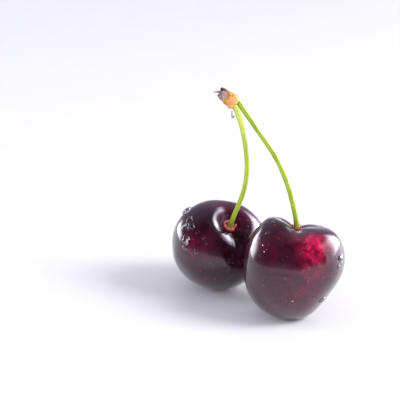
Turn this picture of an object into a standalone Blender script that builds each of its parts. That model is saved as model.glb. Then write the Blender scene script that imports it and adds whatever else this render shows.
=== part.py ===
"""A pair of sweet cherries joined by their stalks on one spur end, as picked.

Metres, +Z up. The pair stands on the undersides of its two fruits. The origin is
on that surface, under the middle of the pair. The front fruit is at the -Y side
with its suture towards -Y, and the back fruit is behind it, towards -X and +Y.
Each fruit is shaped in its own frame: +Z runs out through the stalk cavity, -Y is
the suture side, and the origin is the middle of the fruit.
"""
import math
from dataclasses import dataclass

import bmesh
import bpy
from mathutils import Matrix, Vector
from mathutils.bvhtree import BVHTree

MM = 0.001

# ----------------------------------------------------------------- driving sizes

GAP = 0.3 * MM                        # clearance between neighbouring pieces


@dataclass
class Fruit:
    """Sizes of one cherry in its own frame, how it leans where it stands, and its stalk."""

    name: str
    width: float                      # across the cheeks
    depth: float                      # from the suture side to the back
    height: float                     # from stalk end to blossom end, without the cavity
    taper: float                      # share by which the stalk end widens and the blossom end narrows
    cavity_depth: float
    cavity_radius: float
    suture_depth: float               # groove over the shoulder on the suture side
    back_depth: float                 # groove over the shoulder on the other side
    belly: float                      # how much fuller the -X cheek is, low down
    shoulder: float                   # how much higher the -X shoulder is
    lean_right: float                 # tilt of the stalk end towards +X
    lean_back: float                  # tilt of the stalk end towards +Y
    turn: float                       # twist about the fruit's own axis
    stalk_radius: float               # along the stalk's middle
    stalk_pulls: tuple                # points it bends towards: one from its foot, one from its top

    def rotation(self):
        """The turn about the fruit's axis first, then the lean back, then the lean right."""
        turn = Matrix.Rotation(self.turn, 3, "Z")
        lean_back = Matrix.Rotation(-self.lean_back, 3, "X")
        lean_right = Matrix.Rotation(self.lean_right, 3, "Y")
        return lean_right @ lean_back @ turn


FRONT = Fruit(
    name="front",
    width=26.7 * MM,
    depth=24.6 * MM,
    height=29.1 * MM,
    taper=0.09,
    cavity_depth=4.6 * MM,
    cavity_radius=6.0 * MM,
    suture_depth=1.6 * MM,
    back_depth=1.7 * MM,
    belly=1.7 * MM,
    shoulder=2.8 * MM,
    lean_right=math.radians(2.0),
    lean_back=math.radians(10.0),
    turn=0.0,
    stalk_radius=0.69 * MM,
    stalk_pulls=(Vector((-4.3, 3.2, 24.0)) * MM, Vector((9.6, -3.7, -16.8)) * MM),
)

BACK = Fruit(
    name="back",
    width=26.7 * MM,
    depth=25.3 * MM,
    height=25.3 * MM,
    taper=0.10,
    cavity_depth=3.6 * MM,
    cavity_radius=4.5 * MM,
    suture_depth=1.4 * MM,
    back_depth=0.8 * MM,
    belly=0.0,
    shoulder=0.0,
    lean_right=math.radians(22.0),
    lean_back=math.radians(-29.0),
    turn=math.radians(25.0),
    stalk_radius=0.65 * MM,
    stalk_pulls=(Vector((2.6, -5.9, 13.8)) * MM, Vector((7.6, -2.4, -24.6)) * MM),
)

REST_DEPTH = 0.35 * MM                # how far each underside is flattened where it stands

# Where the humps and grooves of a skin sit, in radians from the stalk end, and how far they spread.
GROOVE_POLAR = 0.45                   # deepest part of the suture's groove, over the shoulder
GROOVE_SPREAD = 0.45
GROOVE_START = 0.25                   # the grooves fade out this near the axis
GROOVE_HALF_WIDTH = 0.5               # round the axis
BELLY_POLAR = 2.36
BELLY_SPREAD = 0.6
HIGH_SHOULDER_POLAR = 0.4
HIGH_SHOULDER_SPREAD = 0.3

FRUIT_GAP = 2.1 * MM                  # between the two fruits, along their bearing
FRUIT_BEARING = math.radians(135.6)   # from the front fruit to the back one, from +X towards +Y

STALK_FOOT_RADIUS = 0.95 * MM         # at the fruit
STALK_TOP_RADIUS = 0.80 * MM          # at the spur
STALK_FOOT_FLARE = 1.3 * MM           # length over which the foot narrows
STALK_TOP_FLARE = 4.5 * MM            # length over which the top widens
STALK_FOOT_HANDLE = 2.5 * MM          # how far the fruit's axis guides the foot
STALK_TOP_HANDLE = 2.0 * MM           # how far the spur's axis guides the top

# The spur is placed by the front stalk, and the back stalk reaches up to it.
FRONT_STALK_REACH = 36.7 * MM         # straight from the stalk's foot to the spur
FRONT_STALK_BEARING = math.radians(145.5)
FRONT_STALK_RISE = math.radians(58.8)

SPUR_BEARING = math.radians(180.0)
SPUR_RISE = math.radians(38.0)
STALK_PAIR_ROLL = math.radians(135.0)  # of the line through both stalk tops, about the spur
SPUR_PAD_HEIGHT = 0.5 * MM            # the pad that both stalk tops meet
SPUR_CORE_RADIUS = 0.95 * MM
SPUR_TIP_RADIUS = 0.70 * MM
SPUR_LENGTH = 4.6 * MM
SPUR_TAPER_LENGTH = 1.8 * MM          # over which the core narrows to its tip
SPUR_EDGE = 0.13 * MM                 # rounding of the pad's edges and of the tip

RING_TUBE_RADIUS = 0.33 * MM          # of the calyx ring's section
RING_LOBES = 5                        # one for each sepal that fell
RING_LOBE_HEIGHT = 0.12 * MM

SCALE_THICKNESS = 0.42 * MM
SCALE_TIP_THICKNESS = 0.29 * MM
SCALE_SLIT = math.radians(18.0)       # between neighbouring scales
SCALE_TIP_SHARE = 0.45                # width of a scale's tip, as a share of its foot


@dataclass
class Whorl:
    """One ring of bud scales round the spur."""

    name: str
    lengths: tuple                    # of its scales, one after another round the spur
    splay: float                      # how far a scale leans out at its tip
    first_turn: float                 # of its first scale, about the spur


WHORLS = (
    Whorl("lower", (1.4 * MM, 1.2 * MM, 1.3 * MM, 1.1 * MM), 0.15 * MM, math.radians(20.0)),
    Whorl("middle", (0.9 * MM, 1.1 * MM, 1.0 * MM, 1.1 * MM), 0.10 * MM, math.radians(65.0)),
    Whorl("tip", (1.7 * MM, 0.8 * MM, 1.0 * MM), -0.10 * MM, 0.0),
)

THORN_RADIUS = 0.28 * MM
THORN_MIDDLE_RADIUS = 0.22 * MM
THORN_POINT_RADIUS = 0.04 * MM
THORN_LENGTH = 1.8 * MM
THORN_DROOP = math.radians(43.0)      # down from the spur's axis
STIPULE_RADIUS = 0.16 * MM
STIPULE_LENGTH = 1.6 * MM
STIPULE_HOOK_DIP = 0.3 * MM           # how far its bend dips below the hook's end

# ------------------------------------------------------------------- mesh counts

FRUIT_SEGMENTS = 40
FRUIT_RINGS = 26
FRUIT_RING_CROWDING = 0.45            # 0 for evenly spaced rings, more for closer ones at the stalk end
STALK_POINTS = 40
STALK_BEVEL_RESOLUTION = 3
STIPULE_POINTS = 9
STIPULE_BEVEL_RESOLUTION = 1
RING_SEGMENTS = 30
RING_SECTION_POINTS = 8
SPUR_SEGMENTS = 20
THORN_SEGMENTS = 10
SCALE_ARC_STEPS = 6
SCALE_LENGTH_STEPS = 4
SMOOTHING_ANGLE = math.radians(50.0)  # edges sharper than this stay sharp

# ------------------------------------------------------------------------ colours

SKIN = ("cherry_skin", (0.085, 0.008, 0.022), 0.18)
STALK = ("green_stalk", (0.36, 0.47, 0.06), 0.45)
CALYX = ("calyx_red", (0.48, 0.07, 0.10), 0.50)
SPUR_WOOD = ("spur_wood", (0.50, 0.28, 0.10), 0.75)
SCALES = {
    "lower": ("scale_tan", (0.70, 0.38, 0.16), 0.60),
    "middle": ("scale_gold", (0.68, 0.46, 0.09), 0.60),
    "tip": ("scale_dark", (0.10, 0.04, 0.05), 0.70),
}
THORN_PINK = ("thorn_pink", (0.70, 0.22, 0.25), 0.50)
DRY_FIBRE = ("dry_fibre", (0.28, 0.22, 0.15), 0.80)


# ------------------------------------------------------------------------ helpers

def bump(value, centre, half_width):
    """A smooth hump: 1 at the centre, falling to 0 away from it."""
    return math.exp(-((value - centre) / half_width) ** 2)


def heading(bearing, rise):
    """The unit vector at a bearing from +X towards +Y, and a rise above the level."""
    return Vector((
        math.cos(rise) * math.cos(bearing),
        math.cos(rise) * math.sin(bearing),
        math.sin(rise),
    ))


def bezier(controls, share):
    """The point at this share of a Bezier curve through any number of controls."""
    points = list(controls)
    while len(points) > 1:
        points = [a.lerp(b, share) for a, b in zip(points, points[1:])]
    return points[0]


def principled(finish):
    """One Principled material from a finish: its name, colour and roughness."""
    name, colour, roughness = finish
    material = bpy.data.materials.new(name)
    material.use_nodes = True
    shader = material.node_tree.nodes["Principled BSDF"]
    shader.inputs["Base Color"].default_value = (*colour, 1.0)
    shader.inputs["Roughness"].default_value = roughness
    shader.inputs["Metallic"].default_value = 0.0
    return material


def add_object(name, data, finish, parent, matrix=None):
    """An object with its own material, placed under its parent."""
    data.materials.append(principled(finish))
    thing = bpy.data.objects.new(name, data)
    bpy.context.scene.collection.objects.link(thing)
    thing.parent = parent
    if matrix is not None:
        thing.location = matrix.to_translation()
        thing.rotation_euler = matrix.to_euler()
    return thing


def lofted(rings, ends="flat"):
    """A closed bmesh through rings of points that run the same way round.

    ends is "flat" for one face over each end, "joined" to lead the last ring back
    to the first, or a pair of points that the end rings close on.
    """
    mesh = bmesh.new()
    loops = [[mesh.verts.new(point) for point in ring] for ring in rings]
    count = len(loops[0])
    pairs = list(zip(loops, loops[1:]))
    if ends == "joined":
        pairs.append((loops[-1], loops[0]))
    for low, high in pairs:
        for k in range(count):
            following = (k + 1) % count
            mesh.faces.new((low[k], low[following], high[following], high[k]))
    if ends == "flat":
        mesh.faces.new(reversed(loops[0]))
        mesh.faces.new(loops[-1])
    elif ends != "joined":
        for tip, loop in ((ends[0], loops[0]), (ends[1], loops[-1])):
            vertex = mesh.verts.new(tip)
            for k in range(count):
                mesh.faces.new((vertex, loop[k], loop[(k + 1) % count]))
    bmesh.ops.recalc_face_normals(mesh, faces=mesh.faces)
    return mesh


def smooth_mesh(name, mesh):
    """Mesh data from a bmesh, shaded smooth but for its sharp edges."""
    data = bpy.data.meshes.new(name)
    mesh.to_mesh(data)
    mesh.free()
    data.shade_smooth()
    data.set_sharp_from_angle(angle=SMOOTHING_ANGLE)
    return data


def turned(profile, segments):
    """A closed bmesh from (radius, height) steps turned about +Z, with flat ends."""
    rings = []
    for radius, height in profile:
        turns = (math.tau * k / segments for k in range(segments))
        rings.append([Vector((radius * math.cos(a), radius * math.sin(a), height)) for a in turns])
    return lofted(rings)


def tapered_curve(name, points, radii, bevel_resolution):
    """A round tube with filled ends along the points, with a radius at each."""
    data = bpy.data.curves.new(name, "CURVE")
    data.dimensions = "3D"
    data.bevel_depth = max(radii)
    data.bevel_resolution = bevel_resolution
    data.use_fill_caps = True
    spline = data.splines.new("POLY")
    spline.points.add(len(points) - 1)
    for target, point, radius in zip(spline.points, points, radii):
        target.co = (*point, 1.0)
        target.radius = radius / data.bevel_depth
    spline.use_smooth = True
    return data


# ------------------------------------------------------------------------- fruits

def skin_point(fruit, polar, azimuth):
    """A point of the skin: polar from the stalk end, azimuth round from the suture."""
    ray = Vector((
        math.sin(polar) * math.sin(azimuth),
        -math.sin(polar) * math.cos(azimuth),
        math.cos(polar),
    ))
    widening = 1 + fruit.taper * ray.z
    point = Vector((
        ray.x * widening * fruit.width / 2,
        ray.y * widening * fruit.depth / 2,
        ray.z * fruit.height / 2,
    ))
    groove = bump(polar, GROOVE_POLAR, GROOVE_SPREAD) * (1 - bump(polar, 0.0, GROOVE_START))
    swell = -fruit.suture_depth * groove * bump(azimuth, 0.0, GROOVE_HALF_WIDTH)
    swell -= fruit.back_depth * groove * bump(abs(azimuth), math.pi, GROOVE_HALF_WIDTH)
    swell -= fruit.belly * ray.x * bump(polar, BELLY_POLAR, BELLY_SPREAD)
    swell -= fruit.shoulder * ray.x * bump(polar, HIGH_SHOULDER_POLAR, HIGH_SHOULDER_SPREAD)
    if ray.z > 0:
        swell -= fruit.cavity_depth * bump(math.hypot(point.x, point.y), 0.0, fruit.cavity_radius)
    return point + ray * swell


def fruit_skin(fruit):
    """The whole skin as a closed bmesh. Rings lie closer together at the stalk end."""
    rings = []
    for step in range(1, FRUIT_RINGS):
        share = step / FRUIT_RINGS
        polar = math.pi * share * (1 - FRUIT_RING_CROWDING * (1 - share))
        turns = (math.tau * k / FRUIT_SEGMENTS - math.pi for k in range(FRUIT_SEGMENTS))
        rings.append([skin_point(fruit, polar, azimuth) for azimuth in turns])
    return lofted(rings, (skin_point(fruit, 0.0, 0.0), skin_point(fruit, math.pi, 0.0)))


def reach(mesh, rotation, direction):
    """How far a turned mesh reaches from its own origin in a direction."""
    return max((rotation @ vertex.co).dot(direction) for vertex in mesh.verts)


def flatten_underside(mesh, placing):
    """Cut the skin off level with the ground, and close the cut with one flat face."""
    to_fruit = placing.inverted()
    ground = to_fruit @ Vector((0.0, 0.0, 0.0))
    down = to_fruit.to_3x3() @ Vector((0.0, 0.0, -1.0))
    everything = mesh.verts[:] + mesh.edges[:] + mesh.faces[:]
    bmesh.ops.bisect_plane(mesh, geom=everything, plane_co=ground, plane_no=down, clear_outer=True)
    rim = [edge for edge in mesh.edges if edge.is_boundary]
    bmesh.ops.contextual_create(mesh, geom=rim)
    bmesh.ops.recalc_face_normals(mesh, faces=mesh.faces)


def skin_height(tree, radius, turn):
    """The height of the skin at a radius and a turn round the fruit's axis."""
    middle = Vector((radius * math.cos(turn), radius * math.sin(turn), 0.0))
    return tree.ray_cast(middle, Vector((0.0, 0.0, 1.0)))[0].z


def ring_turns():
    """The turns round the fruit's axis at which the calyx ring has a section."""
    return [math.tau * k / RING_SEGMENTS for k in range(RING_SEGMENTS)]


def foot_height(tree):
    """How high the stalk's foot stands, clear of the skin under all of it."""
    radii = (0.0, STALK_FOOT_RADIUS / 2, STALK_FOOT_RADIUS)
    return max(skin_height(tree, radius, turn) for radius in radii for turn in ring_turns()) + GAP


def calyx_ring(tree):
    """The rim where the flower sat: a lobed ring that clears the skin and the stalk's foot."""
    inner = STALK_FOOT_RADIUS + GAP
    middle = inner + RING_TUBE_RADIUS
    outer = middle + RING_TUBE_RADIUS
    sections = []
    for turn in ring_turns():
        lobe = RING_LOBE_HEIGHT * (1 + math.cos(RING_LOBES * turn)) / 2
        base = max(skin_height(tree, radius, turn) for radius in (inner, middle, outer)) + GAP
        section = []
        for k in range(RING_SECTION_POINTS):
            angle = math.tau * k / RING_SECTION_POINTS
            radius = middle + RING_TUBE_RADIUS * math.cos(angle)
            height = base + RING_TUBE_RADIUS * (1 + math.sin(angle)) + lobe * max(0.0, math.sin(angle))
            section.append(Vector((radius * math.cos(turn), radius * math.sin(turn), height)))
        sections.append(section)
    return lofted(sections, "joined")


def add_fruit(fruit, mesh, placing, pair):
    """One cherry with its calyx ring. Returns where its stalk stands, and which way."""
    flatten_underside(mesh, placing)
    tree = BVHTree.FromBMesh(mesh)
    names = f"cherry_{fruit.name}", f"calyx_ring_{fruit.name}"
    add_object(names[0], smooth_mesh(names[0], mesh), SKIN, pair, placing)
    add_object(names[1], smooth_mesh(names[1], calyx_ring(tree)), CALYX, pair, placing)
    foot = placing @ Vector((0.0, 0.0, foot_height(tree)))
    axis = placing.to_3x3() @ Vector((0.0, 0.0, 1.0))
    return foot, axis


# ------------------------------------------------------------------ stalks and spur

def stalk_points(foot, foot_axis, top, spur_axis, pulls):
    """Points along a stalk: out along the fruit's axis, and into the spur along its axis."""
    controls = (
        foot,
        foot + foot_axis * STALK_FOOT_HANDLE,
        foot + pulls[0],
        top + pulls[1],
        top - spur_axis * STALK_TOP_HANDLE,
        top,
    )
    return [bezier(controls, k / (STALK_POINTS - 1)) for k in range(STALK_POINTS)]


def stalk_radii(points, radius):
    """The stalk's radius at each point, wider at its foot and at its top."""
    lengths = [0.0]
    for a, b in zip(points, points[1:]):
        lengths.append(lengths[-1] + (b - a).length)
    radii = []
    for length in lengths:
        foot = (STALK_FOOT_RADIUS - radius) * bump(length, 0.0, STALK_FOOT_FLARE)
        top = (STALK_TOP_RADIUS - radius) * bump(length, lengths[-1], STALK_TOP_FLARE)
        radii.append(radius + foot + top)
    return radii


def spur_pad_radius():
    """The pad takes both stalk tops side by side."""
    return 2 * STALK_TOP_RADIUS + GAP / 2


def spur_stub():
    """The woody end of the spur, up its own +Z: a pad for the stalk tops, and a core."""
    pad_radius = spur_pad_radius()
    profile = (
        (pad_radius - SPUR_EDGE, 0.0),
        (pad_radius, SPUR_EDGE),
        (pad_radius, SPUR_PAD_HEIGHT - SPUR_EDGE),
        (pad_radius - SPUR_EDGE, SPUR_PAD_HEIGHT),
        (SPUR_CORE_RADIUS, SPUR_PAD_HEIGHT + SPUR_EDGE),
        (SPUR_CORE_RADIUS, SPUR_LENGTH - SPUR_TAPER_LENGTH),
        (SPUR_TIP_RADIUS, SPUR_LENGTH - SPUR_EDGE),
        (SPUR_TIP_RADIUS - SPUR_EDGE, SPUR_LENGTH),
    )
    return turned(profile, SPUR_SEGMENTS)


def bud_scale(length, splay, span):
    """One curved scale round +Z, its foot at z = 0 and its middle towards +X."""
    inner_radius = SPUR_CORE_RADIUS + GAP
    sections = []
    for step in range(SCALE_LENGTH_STEPS + 1):
        share = step / SCALE_LENGTH_STEPS
        half = span / 2 * (1 - (1 - SCALE_TIP_SHARE) * share ** 2)
        inner = inner_radius + splay * share
        outer = inner + SCALE_THICKNESS + (SCALE_TIP_THICKNESS - SCALE_THICKNESS) * share
        turns = [half * (2 * k / SCALE_ARC_STEPS - 1) for k in range(SCALE_ARC_STEPS + 1)]
        around = [(outer, turn) for turn in turns] + [(inner, turn) for turn in reversed(turns)]
        height = length * share
        sections.append([Vector((r * math.cos(t), r * math.sin(t), height)) for r, t in around])
    return lofted(sections)


def add_whorl(whorl, height, spur_placing, pair):
    """One whorl of scales round the spur. Returns the height that clears its tips."""
    share = math.tau / len(whorl.lengths)
    for k, length in enumerate(whorl.lengths):
        name = f"bud_scale_{whorl.name}_{k + 1}"
        turn = Matrix.Rotation(whorl.first_turn + k * share, 4, "Z")
        placing = spur_placing @ Matrix.Translation((0.0, 0.0, height)) @ turn
        data = smooth_mesh(name, bud_scale(length, whorl.splay, share - SCALE_SLIT))
        add_object(name, data, SCALES[whorl.name], pair, placing)
    return height + max(whorl.lengths) + GAP


def add_spur(spur_placing, pair):
    """The spur's stub, its whorls of scales and the thorn at its broken end."""
    add_object("spur_stub", smooth_mesh("spur_stub", spur_stub()), SPUR_WOOD, pair, spur_placing)
    height = SPUR_PAD_HEIGHT + SPUR_EDGE + GAP
    for whorl in WHORLS:
        height = add_whorl(whorl, height, spur_placing, pair)
    profile = (
        (THORN_RADIUS, 0.0),
        (THORN_MIDDLE_RADIUS, THORN_LENGTH / 2),
        (THORN_POINT_RADIUS, THORN_LENGTH),
    )
    thorn = smooth_mesh("spur_thorn", turned(profile, THORN_SEGMENTS))
    thorn_height = SPUR_LENGTH + GAP + THORN_RADIUS * math.sin(THORN_DROOP)
    thorn_placing = spur_placing @ Matrix.Translation((0.0, 0.0, thorn_height))
    thorn_placing @= Matrix.Rotation(THORN_DROOP, 4, "X")
    add_object("spur_thorn", thorn, THORN_PINK, pair, thorn_placing)


def add_stipule(points, stalk_radius, spur_foot, pair):
    """The dry hooked fibre beside the back stalk.

    Its free end stands up clear of the stalk and of the spur's pad, and its hook turns in
    towards the stalk.
    """
    clearance = GAP + STIPULE_RADIUS
    free_height = spur_foot.z - spur_pad_radius() * math.cos(SPUR_RISE) - clearance
    hook_height = free_height - STIPULE_LENGTH
    sides = []
    for point, radius in zip(points, stalk_radius):
        if hook_height < point.z < free_height + clearance:
            sides.append(Vector((point.x - radius, point.y, point.z)))
    stand = min(side.x for side in sides) - clearance
    hook = Vector((sides[0].x - clearance, sides[0].y, hook_height))
    bend = Vector((stand, hook.y, hook_height - STIPULE_HOOK_DIP))
    controls = (hook, bend, bend, Vector((stand, hook.y, free_height)))
    route = [bezier(controls, k / (STIPULE_POINTS - 1)) for k in range(STIPULE_POINTS)]
    radii = [STIPULE_RADIUS] * STIPULE_POINTS
    fibre = tapered_curve("dry_stipule", route, radii, STIPULE_BEVEL_RESOLUTION)
    add_object("dry_stipule", fibre, DRY_FIBRE, pair)


def middle_of(things):
    """The point midway between the things' outermost points in X and Y, at z = 0."""
    depsgraph = bpy.context.evaluated_depsgraph_get()
    points = []
    for thing in things:
        evaluated = thing.evaluated_get(depsgraph)
        mesh = evaluated.to_mesh()
        points += [evaluated.matrix_world @ vertex.co for vertex in mesh.vertices]
        evaluated.to_mesh_clear()
    xs = [point.x for point in points]
    ys = [point.y for point in points]
    return Vector(((min(xs) + max(xs)) / 2, (min(ys) + max(ys)) / 2, 0.0))


# --------------------------------------------------------------------------- main

def main():
    for old in list(bpy.data.objects):
        bpy.data.objects.remove(old)
    pair = bpy.data.objects.new("cherry_pair", None)
    bpy.context.scene.collection.objects.link(pair)

    # The back fruit stands clear of the front one along their bearing.
    down = Vector((0.0, 0.0, -1.0))
    bearing = heading(FRUIT_BEARING, 0.0)
    skins = {fruit.name: fruit_skin(fruit) for fruit in (FRONT, BACK)}
    spacing = FRUIT_GAP
    spacing += reach(skins["front"], FRONT.rotation(), bearing)
    spacing += reach(skins["back"], BACK.rotation(), -bearing)
    feet = {}
    for fruit, centre in ((FRONT, Vector()), (BACK, bearing * spacing)):
        mesh = skins[fruit.name]
        centre.z = reach(mesh, fruit.rotation(), down) - REST_DEPTH
        placing = Matrix.Translation(centre) @ fruit.rotation().to_4x4()
        feet[fruit.name] = add_fruit(fruit, mesh, placing, pair)

    # Both stalk tops meet the spur's pad side by side.
    spur_axis = heading(SPUR_BEARING, SPUR_RISE)
    spur_turn = spur_axis.to_track_quat("Z", "Y").to_matrix()
    beside = spur_turn @ Vector((math.cos(STALK_PAIR_ROLL), math.sin(STALK_PAIR_ROLL), 0.0))
    beside *= STALK_TOP_RADIUS + GAP / 2
    reach_to_spur = heading(FRONT_STALK_BEARING, FRONT_STALK_RISE) * FRONT_STALK_REACH
    front_top = feet["front"][0] + reach_to_spur
    spur_foot = front_top - beside + spur_axis * GAP
    for fruit, top in ((FRONT, front_top), (BACK, front_top - 2 * beside)):
        foot, foot_axis = feet[fruit.name]
        points = stalk_points(foot, foot_axis, top, spur_axis, fruit.stalk_pulls)
        radii = stalk_radii(points, fruit.stalk_radius)
        name = f"stalk_{fruit.name}"
        add_object(name, tapered_curve(name, points, radii, STALK_BEVEL_RESOLUTION), STALK, pair)
        if fruit is BACK:
            add_stipule(points, radii, spur_foot, pair)
    add_spur(Matrix.Translation(spur_foot) @ spur_turn.to_4x4(), pair)

    bpy.context.view_layer.update()
    pair.location = -middle_of(pair.children)


main()
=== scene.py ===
"""The looks of a pair of sweet cherries joined on one spur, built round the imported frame.

Metres, +Z up, in the frame's own place. Each fruit is made again at full detail from the same
shape rules as its solid, and is placed by that solid's box. The stalks start on the fruits and
the spur stands on the stalks' tops, as in the solids.
"""
import math
import random
from dataclasses import dataclass

import bmesh
import bpy
from mathutils import Matrix, Vector, noise
from mathutils.bvhtree import BVHTree


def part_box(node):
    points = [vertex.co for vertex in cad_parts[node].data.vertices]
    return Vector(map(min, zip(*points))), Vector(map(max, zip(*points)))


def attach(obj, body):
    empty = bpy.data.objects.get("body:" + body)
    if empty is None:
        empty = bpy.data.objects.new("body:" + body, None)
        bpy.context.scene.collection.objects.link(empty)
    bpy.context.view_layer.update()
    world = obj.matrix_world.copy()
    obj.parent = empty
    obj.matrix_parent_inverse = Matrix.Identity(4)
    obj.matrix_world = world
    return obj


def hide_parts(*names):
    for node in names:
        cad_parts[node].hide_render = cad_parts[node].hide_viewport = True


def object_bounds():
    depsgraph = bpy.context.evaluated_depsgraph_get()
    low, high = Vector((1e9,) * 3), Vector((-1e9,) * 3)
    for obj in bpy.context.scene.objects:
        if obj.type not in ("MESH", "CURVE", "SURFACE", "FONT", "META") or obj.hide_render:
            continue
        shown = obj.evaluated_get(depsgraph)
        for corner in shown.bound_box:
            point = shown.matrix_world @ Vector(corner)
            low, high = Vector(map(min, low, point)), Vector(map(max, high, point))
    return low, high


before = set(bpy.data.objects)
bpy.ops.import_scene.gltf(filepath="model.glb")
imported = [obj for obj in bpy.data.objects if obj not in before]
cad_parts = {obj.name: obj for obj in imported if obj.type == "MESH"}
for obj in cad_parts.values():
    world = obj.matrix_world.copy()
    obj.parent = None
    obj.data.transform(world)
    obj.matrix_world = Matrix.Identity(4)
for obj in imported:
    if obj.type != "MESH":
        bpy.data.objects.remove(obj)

CAD_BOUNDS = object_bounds()

MM = 0.001
UP = Vector((0.0, 0.0, 1.0))

# --------------------------------------------------------- sizes shared with the solids

GAP = 0.3 * MM                        # clearance between neighbouring solids


@dataclass
class Fruit:
    """One cherry in its own frame, how it leans where it stands, its stalk and its looks."""

    name: str
    width: float                      # across the cheeks
    depth: float                      # from the suture side to the back
    height: float                     # from stalk end to blossom end, without the cavity
    taper: float                      # share: the stalk end widens and the blossom end narrows
    cavity_depth: float
    cavity_radius: float
    suture_depth: float               # groove over the shoulder on the suture side
    back_depth: float                 # groove over the shoulder on the other side
    belly: float                      # how much fuller the -X cheek is, low down
    shoulder: float                   # how much higher the -X shoulder is
    lean_right: float                 # tilt of the stalk end towards +X
    lean_back: float                  # tilt of the stalk end towards +Y
    turn: float                       # twist about the fruit's own axis
    stalk_radius: float               # along the stalk's middle
    stalk_pulls: tuple                # points it bends towards: one from its foot, one from its top
    terrace: float                    # dent that makes the cavity's -X wall crisper than in the solid
    dull_radius: float                # painted shade: the gloss is turned down in the cavity, this far from the axis
    rim_radius: float                 # of the calyx, out to its crest
    rim_wall: float
    rim_height: float
    rim_offset: float                 # how far the calyx sits off the fruit's axis
    glows: tuple                      # painted glow of light through the flesh: polar angle, azimuth and spread in degrees, strength
    drops: tuple                      # larger drops: polar angle and azimuth in degrees, radius in mm

    def rotation(self):
        """The turn about the fruit's axis first, then the lean back, then the lean right."""
        turn = Matrix.Rotation(self.turn, 3, "Z")
        lean_back = Matrix.Rotation(-self.lean_back, 3, "X")
        lean_right = Matrix.Rotation(self.lean_right, 3, "Y")
        return lean_right @ lean_back @ turn


FRONT = Fruit(
    name="front",
    width=26.7 * MM,
    depth=24.6 * MM,
    height=29.1 * MM,
    taper=0.09,
    cavity_depth=4.6 * MM,
    cavity_radius=6.0 * MM,
    suture_depth=1.6 * MM,
    back_depth=1.7 * MM,
    belly=1.7 * MM,
    shoulder=2.8 * MM,
    lean_right=math.radians(2.0),
    lean_back=math.radians(10.0),
    turn=0.0,
    stalk_radius=0.69 * MM,
    stalk_pulls=(Vector((-4.3, 3.2, 24.0)) * MM, Vector((9.6, -3.7, -16.8)) * MM),
    terrace=0.0,
    dull_radius=1.5 * MM,
    rim_radius=1.12 * MM,
    rim_wall=0.19 * MM,
    rim_height=0.42 * MM,
    rim_offset=0.0,
    glows=(
        (55, 23, 16, 0.95),
        (74, 17, 15, 0.28),
        (66, -40, 24, 0.07),
        (112, 8, 28, 0.13),
        (75, 140, 30, 0.35),
        (80, -110, 26, 0.22),
    ),
    drops=(
        (48, -50, 0.55),
        (76, 62, 1.15),
        (84, 57, 0.65),
        (66, 2, 0.55),
        (32, -58, 0.5),
        (34, 65, 0.5),
        (126, 50, 0.9),
    ),
)

BACK = Fruit(
    name="back",
    width=26.7 * MM,
    depth=25.3 * MM,
    height=25.3 * MM,
    taper=0.10,
    cavity_depth=3.6 * MM,
    cavity_radius=4.5 * MM,
    suture_depth=1.4 * MM,
    back_depth=0.8 * MM,
    belly=0.0,
    shoulder=0.0,
    lean_right=math.radians(22.0),
    lean_back=math.radians(-29.0),
    turn=math.radians(25.0),
    stalk_radius=0.65 * MM,
    stalk_pulls=(Vector((2.6, -5.9, 13.8)) * MM, Vector((7.6, -2.4, -24.6)) * MM),
    terrace=0.50 * MM,
    dull_radius=4.45 * MM,
    rim_radius=1.42 * MM,
    rim_wall=0.27 * MM,
    rim_height=0.85 * MM,
    rim_offset=0.50 * MM,
    glows=(
        (60, -66, 18, 0.18),
        (50, 150, 26, 0.16),
        (110, 100, 30, 0.24),
        (120, -150, 28, 0.18),
    ),
    drops=(
        (66, -132, 1.5),
        (52, -108, 1.1),
        (60, -98, 1.0),
        (50, -94, 1.1),
        (45, -80, 0.65),
        (63, -80, 1.3),
        (69, -72, 0.9),
        (42, -66, 0.6),
        (62, -58, 0.7),
        (44, -55, 0.5),
        (20, 75, 0.35),
    ),
)

GROOVE_POLAR = 0.45                   # deepest part of the suture's groove, over the shoulder
GROOVE_SPREAD = 0.45
GROOVE_START = 0.25                   # the grooves fade out this near the axis
GROOVE_HALF_WIDTH = 0.5               # round the axis
BELLY_POLAR = 2.36
BELLY_SPREAD = 0.6
HIGH_SHOULDER_POLAR = 0.4
HIGH_SHOULDER_SPREAD = 0.3

STALK_FOOT_RADIUS = 0.95 * MM
STALK_TOP_RADIUS = 0.80 * MM
STALK_FOOT_FLARE = 1.3 * MM
STALK_TOP_FLARE = 4.5 * MM
STALK_FOOT_HANDLE = 2.5 * MM
STALK_TOP_HANDLE = 2.0 * MM
FRONT_STALK_REACH = 36.7 * MM
FRONT_STALK_BEARING = math.radians(145.5)
FRONT_STALK_RISE = math.radians(58.8)
SPUR_BEARING = math.radians(180.0)
SPUR_RISE = math.radians(38.0)
STALK_PAIR_ROLL = math.radians(135.0)
SPUR_LENGTH = 4.6 * MM
THORN_RADIUS = 0.28 * MM
THORN_LENGTH = 1.8 * MM
THORN_DROOP = math.radians(43.0)

# ------------------------------------------------------------------------ fine detail

SKIN_SEGMENTS = 160
SKIN_RINGS = 120
DETAIL_START = 0.35                   # the fine detail fades out this near the stalk end
SEAM_DEPTH = 0.10 * MM                # the fine line of the suture
SEAM_HALF_WIDTH = 0.045               # round the axis
SEAM_END = 0.4                        # the seam fades out this near the blossom end
SCAR_DEPTH = 0.30 * MM                # where the style sat, at the blossom end
SCAR_RADIUS = 0.7 * MM
SCAR_SPREAD = 0.06                    # of its brown colour
TERRACE_RADIUS = 3.9 * MM             # from the fruit's axis
TERRACE_WIDTH = 1.15 * MM
TERRACE_AZIMUTH = -90.0               # degrees
TERRACE_SPREAD = 70.0
UNEVEN_HEIGHT = 0.19 * MM             # broad unevenness of the skin
UNEVEN_SCALE = 150.0                  # per metre
UNEVEN_CHANGE = 900.0                 # makes each fruit's unevenness its own, by its height
HOLLOW_SHADE_CRISPNESS = 14                   # how suddenly the cavity's painted shade ends

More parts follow.
